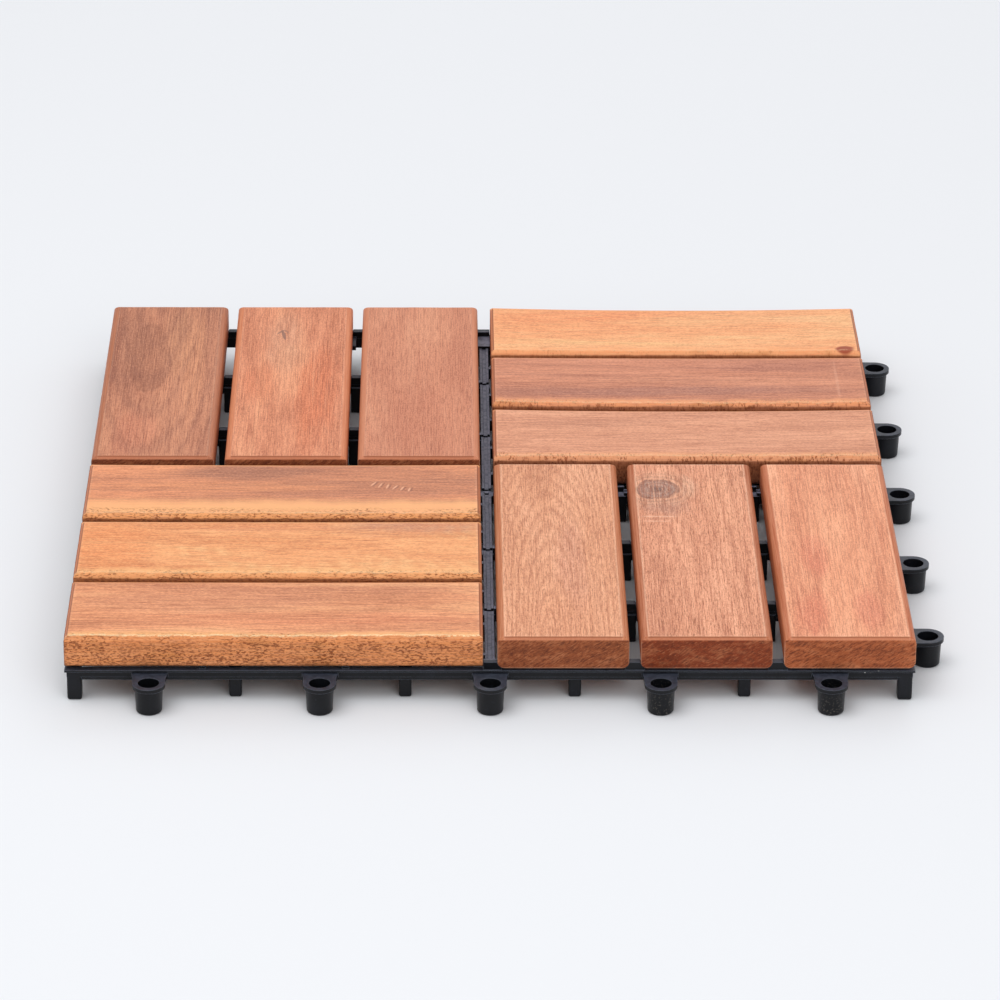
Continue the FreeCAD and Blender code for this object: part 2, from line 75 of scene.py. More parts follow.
class Wire:
    # one shader socket; operators on it add Math nodes
    def __init__(self, tree, socket):
        self.tree = tree
        self.socket = socket

    def node(self, kind, settings, sockets, out=0):
        new = self.tree.nodes.new(kind)
        for name, value in settings.items():
            if name == "stops":
                ramp = new.color_ramp
                while len(ramp.elements) < len(value):
                    ramp.elements.new(0.5)
                for element, (place, colour) in zip(ramp.elements, value):
                    element.position = place
                    element.color = colour
            else:
                setattr(new, name, value)
        for name, value in sockets.items():
            if isinstance(value, Wire):
                self.tree.links.new(value.socket, new.inputs[name])
            else:
                new.inputs[name].default_value = value
        return Wire(self.tree, new.outputs[out])

    def maths(self, operation, first, second=0.0, clamp=False):
        return self.node("ShaderNodeMath", {"operation": operation, "use_clamp": clamp},
                         {0: first, 1: second})

    def __add__(self, other):
        return self.maths("ADD", self, other)

    def __radd__(self, other):
        return self.maths("ADD", other, self)

    def __sub__(self, other):
        return self.maths("SUBTRACT", self, other)

    def __rsub__(self, other):
        return self.maths("SUBTRACT", other, self)

    def __mul__(self, other):
        return self.maths("MULTIPLY", self, other)

    def __rmul__(self, other):
        return self.maths("MULTIPLY", other, self)

    def __truediv__(self, other):
        return self.maths("DIVIDE", self, other)

    def __pow__(self, other):
        return self.maths("POWER", self, other)

    def __abs__(self):
        return self.maths("ABSOLUTE", self)

    def largest(self, other):
        return self.maths("MAXIMUM", self, other)

    def least(self, other):
        return self.maths("MINIMUM", self, other)

    def root(self):
        return self.maths("SQRT", self)

    def wave(self):
        return self.maths("SINE", self)

    def between(self, low, high):
        # 0 below low, 1 above high, smooth in between
        return self.node("ShaderNodeMapRange", {"interpolation_type": "SMOOTHSTEP"},
                         {"Value": self, "From Min": low, "From Max": high, "To Min": 0.0, "To Max": 1.0})

    def colour(self, value):
        # a colour as a wire of its own
        new = self.tree.nodes.new("ShaderNodeRGB")
        new.outputs[0].default_value = value
        return Wire(self.tree, new.outputs[0])

    def towards(self, other, share):
        # mixes this colour with another one
        return self.node("ShaderNodeMix", {"data_type": "RGBA", "clamp_factor": True},
                         {0: share, 6: self, 7: other}, out=2)

    def shaded(self, other, share):
        # multiplies this colour by another one
        return self.node("ShaderNodeMix", {"data_type": "RGBA", "blend_type": "MULTIPLY"},
                         {0: share, 6: self, 7: other}, out=2)

    def axis(self, out):
        return self.node("ShaderNodeSeparateXYZ", {}, {0: self}, out=out)

    def noise(self, scales, detail=3.0, roughness=0.5, distortion=0.0, shift=(0.0, 0.0, 0.0)):
        # a fractal noise that is stretched by its scale along each axis
        stretched = self.node("ShaderNodeMapping", {"vector_type": "POINT"},
                              {"Vector": self, "Location": shift, "Scale": scales})
        return self.node("ShaderNodeTexNoise", {"noise_dimensions": "3D"},
                         {"Vector": stretched, "Scale": 1.0, "Detail": detail, "Roughness": roughness,
                          "Distortion": distortion})

    def cells(self, scales, randomness=1.0, shift=(0.0, 0.0, 0.0)):
        # distance to the nearest of a scatter of points
        stretched = self.node("ShaderNodeMapping", {"vector_type": "POINT"},
                              {"Vector": self, "Location": shift, "Scale": scales})
        return self.node("ShaderNodeTexVoronoi", {"feature": "F1"},
                         {"Vector": stretched, "Scale": 1.0, "Randomness": randomness})


def newMaterial(name):
    # an empty material, its surface shader and a wire with the object's own coordinates
    material = bpy.data.materials.new(name)
    material.use_nodes = True
    tree = material.node_tree
    surface = tree.nodes["Principled BSDF"]
    places = tree.nodes.new("ShaderNodeTexCoord")
    return material, surface, Wire(tree, places.outputs["Object"])


def plug(surface, name, value):
    if isinstance(value, Wire):
        value.tree.links.new(value.socket, surface.inputs[name])
    else:
        surface.inputs[name].default_value = value


# camera, at the photograph's place, aimed at the middle of the tile
cameraLook = {
    "eye": (-18.3, -1702.5, 805.2),      # mm
    "target": (5.0, -8.0, 12.0),         # mm
    "lens": 178.0,
    "roll": 0.38,                         # degrees
}


def setCamera(look):
    data = bpy.data.cameras.new("camera")
    data.lens = look["lens"]
    data.clip_end = 100.0
    eye = Vector(look["eye"]) * mm
    aim = Vector(look["target"]) * mm - eye
    camera = bpy.data.objects.new("camera", data)
    turn = aim.to_track_quat("-Z", "Y").to_matrix().to_4x4()
    camera.matrix_world = Matrix.Translation(eye) @ turn @ Matrix.Rotation(math.radians(look["roll"]), 4, "Z")
    bpy.context.collection.objects.link(camera)
    bpy.context.scene.camera = camera


setCamera(cameraLook)

# floor, lamps and the world
studio = {
    "floorColour": paint(233, 235, 239),
    "worldColour": (1.0, 1.0, 1.0, 1.0),
    "worldLevel": 0.62,
    "lamps": [
        # name, place in m, size in m, watts
        ("topLamp", (-0.5, -0.4, 1.9), 1.6, 17.0),
        ("frontLamp", (0.7, -1.9, 1.1), 1.2, 9.0),
        ("backLamp", (0.4, 1.6, 1.2), 1.0, 5.0),
    ],
}


def setStudio(look):
    shape = bmesh.new()
    bmesh.ops.create_grid(shape, x_segments=1, y_segments=1, size=12.0)
    mesh = bpy.data.meshes.new("floor")
    shape.to_mesh(mesh)
    shape.free()
    floor = bpy.data.objects.new("floor", mesh)
    bpy.context.collection.objects.link(floor)
    material, surface, places = newMaterial("floorPaper")
    plug(surface, "Base Color", look["floorColour"])
    plug(surface, "Roughness", 0.9)
    plug(surface, "Specular IOR Level", 0.1)
    # from below the floor is clear, so the tile's underside shows
    tree = places.tree
    underneath = places.node("ShaderNodeNewGeometry", {}, {}, out=6)
    clear = places.node("ShaderNodeBsdfTransparent", {}, {})
    paper = Wire(tree, surface.outputs["BSDF"])
    oneSided = places.node("ShaderNodeMixShader", {}, {0: underneath, 1: paper, 2: clear})
    tree.links.new(oneSided.socket, tree.nodes["Material Output"].inputs["Surface"])
    mesh.materials.append(material)
    for name, place, size, watts in look["lamps"]:
        lamp = bpy.data.lights.new(name, "AREA")
        lamp.size = size
        lamp.energy = watts
        holder = bpy.data.objects.new(name, lamp)
        holder.location = place
        holder.rotation_euler = (-Vector(place)).to_track_quat("-Z", "Y").to_euler()
        bpy.context.collection.objects.link(holder)
    world = bpy.data.worlds.new("studio")
    world.use_nodes = True
    sky = world.node_tree.nodes["Background"]
    sky.inputs["Color"].default_value = look["worldColour"]
    sky.inputs["Strength"].default_value = look["worldLevel"]
    bpy.context.scene.world = world
    bpy.context.scene.view_settings.view_transform = "Standard"


setStudio(studio)
print("stage: camera and studio set")


# hardwood: every slat is cut from its own board
slatSize = {
    "length": 147.5,       # mm
    "width": 46.5,
    "thick": 12.0,
    "arris": 2.5,          # radius along the long edges
    "chamfer": 1.3,        # leg of the cut across the top of each end
    "softEdge": 0.25,
    "facet": 1.3,
}

# A place on a slat is (along, across) in mm from its middle. Along points right on a sideways slat
# and back on the others; across points back, or left on the others.
# tones: light, middle, dark. heart: where the log's middle lies across and down from the slat's
# middle. rise: how fast the rings come up along the slat. ring: mm from ring to ring.
boards = {
    "back_left_slat_1": {
        "light": paint(221, 152, 116), "middle": paint(200, 132, 100), "dark": paint(148, 91, 71),
        "heart": (5, -9), "rise": -0.13, "ring": 4.5, "seed": 3, "streak": 0.4, "pores": 0.10,
        "arris": paint(176, 104, 70), "cut": paint(138, 72, 42),
        "patches": [((38, 14), (34, 7), 0, paint(172, 113, 87), 0.6),
                    ((38, -6), (34, 8), 0, paint(206, 146, 108), 0.5),
                    ((20, 21), (60, 3), 0, paint(148, 83, 61), 0.6),
                    ((20, -12), (50, 5), 0, paint(234, 163, 120), 0.5),
                    ((-52, 8), (22, 9), 0, paint(219, 134, 102), 0.45)],
        "tongue": {"at": (20, 6.0), "size": (33, 8.5), "turn": 2, "tone": paint(153, 94, 68)},
    },
    "back_left_slat_2": {
        "light": paint(246, 174, 132), "middle": paint(228, 149, 112), "dark": paint(192, 113, 79),
        "heart": (2, -12), "rise": -0.10, "ring": 5.0, "seed": 11, "streak": 0.4, "pores": 0.12,
        "arris": paint(206, 120, 78), "cut": paint(147, 76, 42),
        "patches": [((38, 4), (30, 8), 0, paint(212, 153, 124), 0.6),
                    ((-14, -10), (50, 9), 0, paint(222, 122, 79), 0.75),
                    ((-4, 12), (20, 7), 0, paint(226, 131, 89), 0.5),
                    ((22, 0), (12, 7), 0, paint(242, 182, 143), 0.5),
                    ((-50, 4), (24, 6), 0, paint(220, 143, 106), 0.5)],
        "marks": [((44, 4.0), (4.2, 0.6), 8, paint(120, 84, 76), 0.75),
                  ((47, 5.4), (2.4, 0.5), -32, paint(140, 98, 84), 0.7),
                  ((47.5, 3.0), (2.0, 0.4), 30, paint(150, 104, 88), 0.6)],
    },
    "back_left_slat_3": {
        "light": paint(225, 156, 122), "middle": paint(215, 142, 109), "dark": paint(192, 118, 89),
        "heart": (4, -160), "rise": 0.01, "ring": 2.2, "seed": 19, "streak": 0.35, "pores": 0.08,
        "arris": paint(204, 128, 92), "cut": paint(147, 77, 45),
        "patches": [((52, -4), (22, 9), 0, paint(229, 160, 124), 0.5),
                    ((-34, 0), (30, 12), 0, paint(209, 132, 101), 0.5)],
    },
    "back_right_slat_1": {
        "light": paint(255, 204, 147), "middle": paint(255, 184, 129), "dark": paint(244, 149, 97),
        "heart": (10, -60), "rise": 0.03, "ring": 8.0, "seed": 23, "streak": 0.25, "pores": 0.10,
        "arris": paint(236, 156, 104), "cut": paint(175, 92, 50), "bow": (1.0, 0.3),
        "front": {"width": 4.0, "tone": paint(244, 160, 104), "freckles": 0.35, "fringe": True, "line": 0.2},
        "patches": [((-40, 14), (36, 5), 4, paint(251, 160, 108), 0.5),
                    ((40, 12), (34, 7), 0, paint(255, 201, 147), 0.5),
                    ((-30, -13), (34, 3), -4, paint(255, 210, 147), 0.5)],
        "marks": [((67.4, -20.2), (3.6, 3.4), 0, paint(150, 54, 26), 0.9)],
    },
    "back_right_slat_2": {
        "light": paint(230, 157, 123), "middle": paint(214, 141, 108), "dark": paint(174, 109, 86),
        "heart": (-2, -16), "rise": 0.04, "ring": 5.0, "seed": 31, "streak": 0.6, "pores": 0.10,
        "arris": paint(232, 150, 98), "cut": paint(147, 77, 46), "bow": (0.3, 0.8),
        "front": {"width": 5.0, "tone": paint(238, 160, 108), "freckles": 0.9, "fringe": True, "line": 0.3},
        "patches": [((-6, -10), (66, 4.5), 1, paint(175, 119, 102), 0.75),
                    ((38, 13), (30, 5), 0, paint(183, 117, 96), 0.6),
                    ((10, 0), (60, 3), -2, paint(230, 159, 123), 0.5)],
        "marks": [((62, 0), (0.6, 18), 0, paint(226, 168, 140), 0.3)],
    },
    "back_right_slat_3": {
        "light": paint(245, 179, 142), "middle": paint(233, 165, 130), "dark": paint(201, 133, 102),
        "heart": (30, -70), "rise": 0.03, "ring": 5.0, "seed": 37, "streak": 0.35, "pores": 0.16,
        "arris": paint(226, 150, 102), "cut": paint(147, 79, 46), "bow": (0.8, 0.2),
        "front": {"width": 4.5, "tone": paint(238, 164, 114), "freckles": 1.5, "fringe": True, "line": 0.3},
        "patches": [((-36, 9), (28, 5), 2, paint(208, 144, 114), 0.6),
                    ((24, -4), (40, 9), 0, paint(241, 175, 140), 0.5)],
    },
    "front_left_slat_1": {
        "light": paint(251, 169, 121), "middle": paint(226, 150, 109), "dark": paint(173, 114, 90),
        "heart": (26, -24), "rise": 0.04, "ring": 6.0, "seed": 41, "streak": 0.6, "pores": 0.12,
        "arris": paint(240, 164, 100), "cut": paint(138, 74, 42), "bow": (0.3, 0.2),
        "front": {"width": 12.5, "soft": 4.5, "reach": 8.5, "tone": paint(252, 186, 126), "freckles": 2.2,
                  "line": 0.3},
        "patches": [((-14, 15), (26, 7), -2, paint(169, 113, 90), 0.8),
                    ((36, 14), (24, 5), 0, paint(211, 139, 103), 0.6),
                    ((-20, 2), (44, 4), 0, paint(251, 169, 117), 0.5),
                    ((30, -6), (30, 5), 0, paint(211, 139, 105), 0.5)],
        # short scratches, each a light stroke beside a dark one
        "marks": [((33.5 + 2.7 * k + side, 4.5 - k), (2.6 - 0.15 * k, 0.4), 62 + (k % 3) * 8,
                   tone, 0.6)
                  for k in range(6)
                  for side, tone in ((0.0, paint(246, 190, 156)), (0.9, paint(140, 88, 70)))],
    },
    "front_left_slat_2": {
        "light": paint(255, 202, 142), "middle": paint(255, 180, 123), "dark": paint(224, 138, 86),
        "heart": (-34, -50), "rise": 0.06, "ring": 9.0, "seed": 43, "streak": 0.3, "pores": 0.16,
        "arris": paint(236, 160, 102), "cut": paint(156, 84, 44), "curl": 0.35,
        "front": {"width": 5.5, "tone": paint(250, 182, 122), "freckles": 1.7, "line": 0.4},
        "patches": [((-64, 4), (18, 24), 0, paint(248, 157, 99), 0.65),
                    ((52, 16), (32, 6), 0, paint(206, 144, 116), 0.8),
                    ((-6, 16), (26, 3), 0, paint(236, 157, 114), 0.5)],
    },
    "front_left_slat_3": {
        "light": paint(255, 188, 137), "middle": paint(242, 165, 119), "dark": paint(194, 122, 86),
        "heart": (8, -90), "rise": 0.02, "ring": 3.0, "seed": 47, "streak": 0.7, "pores": 0.2,
        "lines": 0.7,
        "arris": paint(220, 136, 78), "cut": paint(147, 81, 44), "bow": (0.2, 0.3),
        "front": {"width": 5.0, "tone": paint(246, 180, 118), "freckles": 1.1, "line": 1.0, "shade": 0.0},
        "patches": [((-20, 7), (46, 10), 0, paint(216, 146, 111), 0.6),
                    ((40, 16), (34, 4), 0, paint(206, 138, 103), 0.5),
                    ((10, -8), (60, 5), 0, paint(244, 155, 111), 0.5)],
    },
    "front_right_slat_1": {
        "light": paint(250, 186, 147), "middle": paint(237, 169, 129), "dark": paint(197, 127, 92),
        "heart": (4, -3), "rise": 0.13, "ring": 1.8, "seed": 53, "streak": 0.3, "pores": 0.5, "edge": 0.2,
        "late": 0.5, "lines": 0.4,
        "arris": paint(184, 104, 60), "cut": paint(148, 78, 43),
        "patches": [((-14, -4), (40, 6), 0, paint(225, 159, 131), 0.6),
                    ((-60, 0), (20, 20), 0, paint(243, 173, 133), 0.4)],
    },
    "front_right_slat_2": {
        "light": paint(253, 184, 147), "middle": paint(237, 165, 129), "dark": paint(190, 119, 87),
        "heart": (16, -50), "rise": 0.04, "ring": 2.6, "seed": 59, "streak": 0.6, "pores": 0.6, "edge": 0.25,
        "lines": 0.85,
        "arris": paint(170, 90, 50), "cut": paint(136, 57, 25),
        "knot": {"at": (50, 12.5), "size": (8.6, 7.6), "tone": paint(160, 134, 126),
                 "core": paint(104, 86, 84), "halo": paint(248, 192, 158), "rim": paint(132, 98, 86)},
        "patches": [((36, 10), (9, 9), 0, paint(193, 145, 125), 0.8),
                    ((51, 2), (9, 4), 0, paint(255, 205, 171), 0.6),
                    ((40, -12), (30, 8), 0, paint(253, 184, 145), 0.5)],
        "marks": [((26.6, 13), (0.6, 7), 0, paint(250, 200, 170), 0.45),
                  ((24.6, 13), (0.6, 6), 0, paint(176, 116, 92), 0.4),
                  ((22.6, 14), (0.5, 6), 0, paint(250, 200, 170), 0.4)],
    },
    "front_right_slat_3": {
        "light": paint(255, 187, 148), "middle": paint(244, 168, 128), "dark": paint(208, 127, 93),
        "heart": (0, -120), "rise": 0.01, "ring": 3.0, "seed": 61, "streak": 0.45, "pores": 0.25, "edge": 0.18,
        "arris": paint(178, 94, 54), "cut": paint(170, 89, 50),
        "patches": [((-6, 8), (16, 5), 0, paint(224, 129, 99), 0.75),
                    ((-54, 12), (18, 6), 0, paint(222, 127, 96), 0.75),
                    ((-50, -8), (16, 5), 0, paint(224, 132, 103), 0.6),
                    ((30, 0), (40, 10), 0, paint(255, 185, 144), 0.4)],
    },
}

grainTones = {
    "pore": paint(142, 86, 60),
    "freckle": paint(152, 74, 30),
    "stain": paint(186, 118, 62),
    "fibreLine": paint(196, 168, 156),
    # dark tone for the painted shade in the gaps, and for the dark line inside each end's cut
    "seamAndShade": paint(120, 58, 30),
    "chipLine": paint(255, 218, 168),
    # light lines along edges: partly painted highlight, partly sanded wear
    "edgeHighlightAndWear": paint(255, 212, 180),
    "chamfer": paint(190, 114, 78),
    "burnt": paint(92, 42, 24),
    "fibreEnd": paint(214, 140, 96),
}


def runsBack(name):
    low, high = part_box(name)
    return high[1] - low[1] > high[0] - low[0]


def middleOf(name):
    low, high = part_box(name)
    return (Vector(low) + Vector(high)) / 2


def spot(along, across, place, size, turn, roughness=None):
    # 0 in the middle of a turned ellipse and 1 on its edge
    cosine = math.cos(math.radians(turn))
    sine = math.sin(math.radians(turn))
    fromX = along - place[0]
    fromY = across - place[1]
    alongOwn = (fromX * cosine + fromY * sine) / size[0]
    acrossOwn = (fromY * cosine - fromX * sine) / size[1]
    distance = (alongOwn * alongOwn + acrossOwn * acrossOwn).root()
    return distance if roughness is None else distance + roughness


def boardWood(name, look):
    material, surface, places = newMaterial(name + "_wood")
    turn = -90 if runsBack(name) else 0
    middle = Matrix.Rotation(math.radians(turn), 3, "Z") @ middleOf(name)
    # along the slat, across it and up, in mm from the slat's middle
    board = places.node("ShaderNodeMapping", {"vector_type": "POINT"},
                        {"Vector": places, "Location": -middle / mm,
                         "Rotation": (0, 0, math.radians(turn)), "Scale": (1 / mm, 1 / mm, 1 / mm)})
    along = board.axis(0)
    across = board.axis(1)
    up = board.axis(2)
    shift = (look["seed"] * 7.3, look["seed"] * 3.1, look["seed"] * 1.7)
    halfLength = slatSize["length"] / 2
    halfWidth = slatSize["width"] / 2
    halfThick = slatSize["thick"] / 2

    # growth rings about the log's middle, with the drift of the trunk along the slat
    sway = board.noise((0.012, 0.05, 0.05), 2.0, 0.5, 0.0, shift) - 0.5
    heartAcross, heartDown = look["heart"]
    sideways = across - heartAcross + sway * 9.0
    upward = up - heartDown + along * look["rise"]
    ringPlace = (sideways * sideways + upward * upward).root()
    knot = look.get("knot")
    tongue = look.get("tongue")
    if knot:
        knotPlace = spot(along, across, knot["at"], knot["size"], 0, sway * 0.8)
        pull = knotPlace.between(2.0, 1.0)
        ringPlace = ringPlace * (1 - pull) + knotPlace * pull * 9.0
    ringNoise = board.noise((0.03, 0.4, 0.4), 3.0, 0.6, 0.0, shift) - 0.5
    rings = (ringPlace * (2 * math.pi / look["ring"]) + ringNoise * 3.0).wave() * 0.5 + 0.5
    lateWood = rings ** 3.0

    # fibres, drawn out along the slat
    coarse = board.noise((0.010, 0.26, 0.26), 4.0, 0.6, 0.3, shift)
    fine = board.noise((0.025, 2.4, 2.4), 4.0, 0.7, 0.0, shift)
    hair = board.noise((0.11, 3.2, 3.2), 2.0, 0.65, 0.0, shift)
    poreField = board.noise((0.30, 3.4, 3.4), 1.0, 0.5, 0.0, shift)
    pores = poreField.between(0.58, 0.70) * look["pores"]

    # the board's own tones
    tone = board.noise((0.008, 0.05, 0.05), 3.0, 0.55, 0.5, shift)
    colour = board.colour(look["middle"])
    colour = colour.towards(look["light"], tone.between(0.48, 0.64) * 0.8)
    colour = colour.towards(look["dark"], tone.between(0.48, 0.34) * 0.5)
    blur = board.noise((0.03, 0.16, 0.16), 3.0, 0.6, 0.0, shift) - 0.5
    for place, size, angle, patchTone, strength in look["patches"]:
        patch = spot(along, across, place, size, angle, blur * 1.4)
        colour = colour.towards(patchTone, patch.between(1.35, 0.45) * strength)
    if tongue:
        # heartwood that runs out in a point, crisp along its border
        tonguePlace = spot(along, across, tongue["at"], tongue["size"], tongue["turn"], blur * 0.5)
        colour = colour.towards(tongue["tone"], tonguePlace.between(1.06, 0.92) * 0.45)
        colour = colour.towards(tongue["tone"], abs(tonguePlace - 0.98).between(0.10, 0.0) * 0.35)
    if knot:
        cloud = knotPlace + blur * 0.7
        colour = colour.towards(knot["halo"], cloud.between(2.1, 1.3) * 0.5)
        colour = colour.towards(knot["tone"], cloud.between(1.05, 0.85) * 0.8)
        colour = colour.towards(knot["rim"], abs(cloud - 0.95).between(0.16, 0.02) * 0.7)
        colour = colour.towards(knot["core"], cloud.between(0.52, 0.22) * 0.9)
        knotRings = (knotPlace * 20.0 + blur * 3.0).wave() * 0.5 + 0.5
        colour = colour.towards(knot["rim"], knotRings * knotRings * cloud.between(2.2, 1.1) * 0.45)
    colour = colour.towards(look["dark"], lateWood * look.get("late", 0.32))
    colour = colour.towards(look["dark"], coarse.between(0.54, 0.72) * look["streak"] * 0.7)
    colour = colour.towards(look["light"], fine.between(0.52, 0.66) * 0.55)
    colour = colour.towards(look["dark"], fine.between(0.48, 0.34) * 0.6)
    colour = colour.shaded(grainTones["fibreLine"], hair.between(0.50, 0.64) * 0.6)
    grit = board.noise((0.9, 1.8, 1.8), 2.0, 0.6, 0.0, shift)
    colour = colour.shaded(grainTones["fibreLine"], grit.between(0.48, 0.64) * 0.35)
    colour = colour.towards(look["light"], grit.between(0.46, 0.34) * 0.3)
    # thin dark lines that wander along the grain
    drift = board.noise((0.016, 0.85, 0.85), 2.0, 0.55, 0.2, shift)
    lines = abs(drift - 0.5).between(0.028, 0.0) * fine.between(0.30, 0.52)
    colour = colour.shaded(grainTones["fibreLine"], lines * look.get("lines", 0.45))
    colour = colour.towards(look["dark"], lines * look.get("lines", 0.45) * 0.6)
    if "curl" in look:
        ripple = (along * 0.9 + across * 0.35 + blur * 16.0).wave() * 0.5 + 0.5
        colour = colour.towards(look["dark"], ripple * tone.between(0.42, 0.58) * look["curl"])
    colour = colour.towards(grainTones["pore"], pores)

    # long edges: rounded over, more open grain, with a thin light line where they start, partly painted
    # highlight and partly sanded wear
    fromEdge = halfWidth - abs(across)
    waver = board.noise((0.12, 0.02, 0.02), 3.0, 0.6, 0.0, shift) - 0.5
    side = fromEdge.between(slatSize["arris"] + 0.3, slatSize["arris"] - 0.5)
    sideGrain = fine.between(0.40, 0.62)
    # on the sideways slats the arris tone is also painted paler, as painted light from the front lamp
    sideTone = board.colour(look["arris"]).towards(look["light"], sideGrain * 0.30)
    sideTone = sideTone.towards(look["dark"], hair.between(0.50, 0.62) * 0.5)
    edgeHighlightAndWear = abs(fromEdge - slatSize["arris"] - 0.2 + waver * 0.5).between(0.45, 0.10)
    front = look.get("front")
    freckleScale = (1.4, 0.55, 0.55) if front and front.get("fringe") else (0.8, 2.0, 2.0)
    freckleField = board.noise(freckleScale, 2.0, 0.65, 0.0, shift)
    clumps = board.noise((0.07, 0.16, 0.16), 2.0, 0.5, 0.0, shift)
    if front:
        fromFront = across + halfWidth
        soft = front.get("soft", 1.8)
        edge = front["width"] * (1 + waver * (1.6 / soft))
        band = (fromFront - edge + blur * 3.0).between(soft, -soft)
        bandTone = board.colour(front["tone"]).towards(look["light"], fine.between(0.40, 0.65) * 0.5)
        colour = colour.towards(bandTone, band * 0.9)
    colour = colour.towards(sideTone, side)
    colour = colour.towards(grainTones["edgeHighlightAndWear"], edgeHighlightAndWear * look.get("edge", 0.08))
    for place, size, angle, markTone, strength in look.get("marks", []):
        mark = spot(along, across, place, size, angle, blur * 0.9)
        colour = colour.towards(markTone, mark.between(1.2, 0.7) * strength)
    if front:
        freckleReach = (fromFront + waver * 2.0).between(front.get("reach", 6.0), 1.5)
        freckles = freckleField.between(0.53, 0.64) * freckleReach
        freckles = freckles * (0.35 + clumps.between(0.40, 0.58) * 0.65)
        freckles = (freckles * front["freckles"]).least(1.0)
        stain = clumps.between(0.56, 0.68) * side
        colour = colour.towards(grainTones["stain"], stain * 0.4)
        colour = colour.towards(grainTones["freckle"], freckles * 0.8)
        # painted shade: a broken dark line low on the face, in the gap's shade
        low = (up + waver * 1.5).between(halfThick - 1.2, halfThick - 2.4)
        colour = colour.towards(grainTones["seamAndShade"], low * freckleField.between(0.44, 0.56) * 0.35)
        # painted shade: the face just under the arris is darkened where it lies in the gap
        gapShade = (up + waver).between(halfThick - 1.3, halfThick - 2.0)
        colour = colour.towards(grainTones["seamAndShade"], gapShade * front.get("shade", 0.7))
        chipPlace = abs(fromFront - 2.6 - waver * 3.0)
        chipLine = chipPlace.between(0.95, 0.25) * freckleField.between(0.42, 0.55)
        colour = colour.towards(grainTones["chipLine"], chipLine * front["line"])

    # the cut across each end's top edge, and the end grain below it
    fromEnd = halfLength - abs(along)
    chamfer = fromEnd.between(slatSize["chamfer"] + 0.15, slatSize["chamfer"] - 0.15)
    chamferTone = colour.towards(grainTones["chamfer"], 0.85)
    colour = colour.towards(chamferTone, chamfer * (1 - side))
    # a thin light line where the top meets the cut: partly painted highlight, partly sanded wear
    chamferHighlightAndWear = abs(fromEnd - slatSize["chamfer"] - 0.35).between(0.45, 0.1)
    colour = colour.towards(grainTones["edgeHighlightAndWear"], chamferHighlightAndWear * look.get("edge", 0.08) * (1 - side))
    # a dark line just inside the cut's top border
    chamferDarkLine = abs(fromEnd - slatSize["chamfer"] + 0.2).between(0.32, 0.08)
    colour = colour.towards(grainTones["seamAndShade"], chamferDarkLine * 0.5 * (1 - side))
    endGrain = fromEnd.between(0.45, 0.10)
    slanted = board.node("ShaderNodeMapping", {"vector_type": "POINT"},
                         {"Vector": board, "Rotation": (math.radians(32), 0, 0)})
    fibre = slanted.noise((0.2, 0.45, 2.2), 4.0, 0.65, 0.4, shift)
    crumb = board.noise((0.5, 1.5, 1.5), 3.0, 0.6, 0.0, shift)
    endCloud = board.noise((0.2, 0.12, 0.30), 3.0, 0.6, 0.0, shift)
    endTone = board.colour(look["cut"]).towards(grainTones["fibreEnd"], endCloud.between(0.48, 0.66) * 0.25)
    endTone = endTone.towards(grainTones["burnt"], endCloud.between(0.50, 0.34) * 0.30)
    endTone = endTone.towards(grainTones["fibreEnd"], fibre.between(0.52, 0.72) * 0.40)
    endTone = endTone.towards(grainTones["burnt"], fibre.between(0.51, 0.37) * 0.75)
    endTone = endTone.towards(grainTones["burnt"], lateWood * 0.12)
    endTone = endTone.towards(grainTones["fibreEnd"], crumb.between(0.60, 0.74) * 0.35)
    colour = colour.towards(endTone, endGrain)
    # the end face's corners are lightened: partly painted highlight, partly wear from rubbing
    fromCorner = (halfThick - abs(up)).least(fromEdge)
    cornerHighlightAndWear = fromCorner.between(0.5, 0.1) * endGrain
    colour = colour.towards(grainTones["edgeHighlightAndWear"], cornerHighlightAndWear * 0.18)

    plug(surface, "Base Color", colour)
    plug(surface, "Roughness", 0.60 - fine * 0.16 + pores * 0.2 + endGrain * 0.2)
    plug(surface, "Specular IOR Level", 0.28)
    relief = fine * 0.5 + hair * 0.3 - pores * 0.9 - lateWood * 0.15 + endGrain * fibre * 1.5
    if front:
        relief = relief - freckles * 1.6
    bump = board.node("ShaderNodeBump", {}, {"Height": relief, "Distance": 0.00016, "Strength": 0.85})
    plug(surface, "Normal", bump)
    return material


